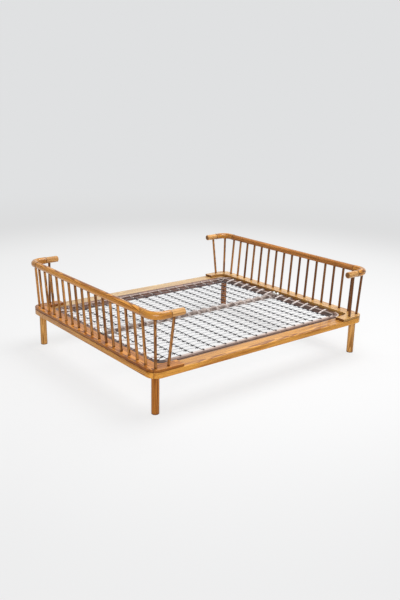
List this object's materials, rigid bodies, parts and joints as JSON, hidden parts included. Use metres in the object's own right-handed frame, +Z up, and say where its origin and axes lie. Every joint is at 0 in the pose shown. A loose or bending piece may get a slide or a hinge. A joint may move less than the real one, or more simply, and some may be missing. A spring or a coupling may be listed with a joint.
{
  "type": "double bed",
  "caption": "Double bed frame of varnished wood on round legs, with a spindle guard round each end and a lift-out wire spring base",
  "frame": {"origin": "on the floor, below the middle of the bed", "axes": "+X along the bed towards the head, +Y across it to the far side, +Z up"},
  "size_m": [2.1324, 1.8084, 0.7242],
  "materials": {
    "frame_wood": "satin varnish, long grain",
    "board_wood": "glossier varnish, long grain",
    "rail_wood": "satin varnish, turned",
    "bend_wood": "satin varnish, darker piece",
    "spindle_wood": "satin varnish, turned",
    "leg_wood": "satin varnish, turned",
    "dowel_wood": "raw wood",
    "painted_steel": "worn brown paint",
    "stud_steel": "dark burnished steel",
    "spring_steel": "dull zinc",
    "net_wire": "dull zinc",
    "screw_steel": "dull zinc",
    "clamp_steel": "bare bright steel"
  },
  "bodies": {
    "bed_frame": {"end_rail_foot": "frame_wood", "end_board_foot": "board_wood", "top_rail_foot": "rail_wood", "spindles_foot": "spindle_wood", "leg_near_foot": "leg_wood", "arm_board_near_foot": "board_wood", "rail_bend_near_foot": "bend_wood", "rail_arm_near_foot": "rail_wood", "corner_spindles_near_foot": "spindle_wood", "leg_far_foot": "leg_wood", "arm_board_far_foot": "board_wood", "rail_bend_far_foot": "bend_wood", "rail_arm_far_foot": "rail_wood", "corner_spindles_far_foot": "spindle_wood", "end_rail_head": "frame_wood", "end_board_head": "board_wood", "top_rail_head": "rail_wood", "spindles_head": "spindle_wood", "leg_near_head": "leg_wood", "arm_board_near_head": "board_wood", "rail_bend_near_head": "bend_wood", "rail_arm_near_head": "rail_wood", "corner_spindles_near_head": "spindle_wood", "leg_far_head": "leg_wood", "arm_board_far_head": "board_wood", "rail_bend_far_head": "bend_wood", "rail_arm_far_head": "rail_wood", "corner_spindles_far_head": "spindle_wood", "side_rail_near": "frame_wood", "rest_plates_near": "painted_steel", "side_rail_far": "frame_wood", "rest_plates_far": "painted_steel", "rest_plate_screws": "screw_steel", "board_screws": "screw_steel", "corner_dowels": "dowel_wood", "top_rail_dowels": "dowel_wood"},
    "spring_base": {"base_bar_foot": "painted_steel", "hook_studs_foot": "stud_steel", "end_springs_foot": "spring_steel", "centre_clamp_foot": "clamp_steel", "base_corner_near_foot": "painted_steel", "base_corner_far_foot": "painted_steel", "base_bar_head": "painted_steel", "hook_studs_head": "stud_steel", "end_springs_head": "spring_steel", "centre_clamp_head": "clamp_steel", "base_corner_near_head": "painted_steel", "base_corner_far_head": "painted_steel", "base_bar_near": "painted_steel", "hook_studs_near": "stud_steel", "side_hooks_near": "spring_steel", "net_near": "net_wire", "base_bar_far": "painted_steel", "hook_studs_far": "stud_steel", "side_hooks_far": "spring_steel", "net_far": "net_wire", "centre_bar": "painted_steel", "clamp_bolts": "screw_steel", "centre_ties": "stud_steel"}
  },
  "joints": [
    {"name": "spring_base_lift", "type": "slide", "parent": "bed_frame", "child": "spring_base", "axis": [0, 0, 1], "range_m": [0, 0.48]}
  ]
}
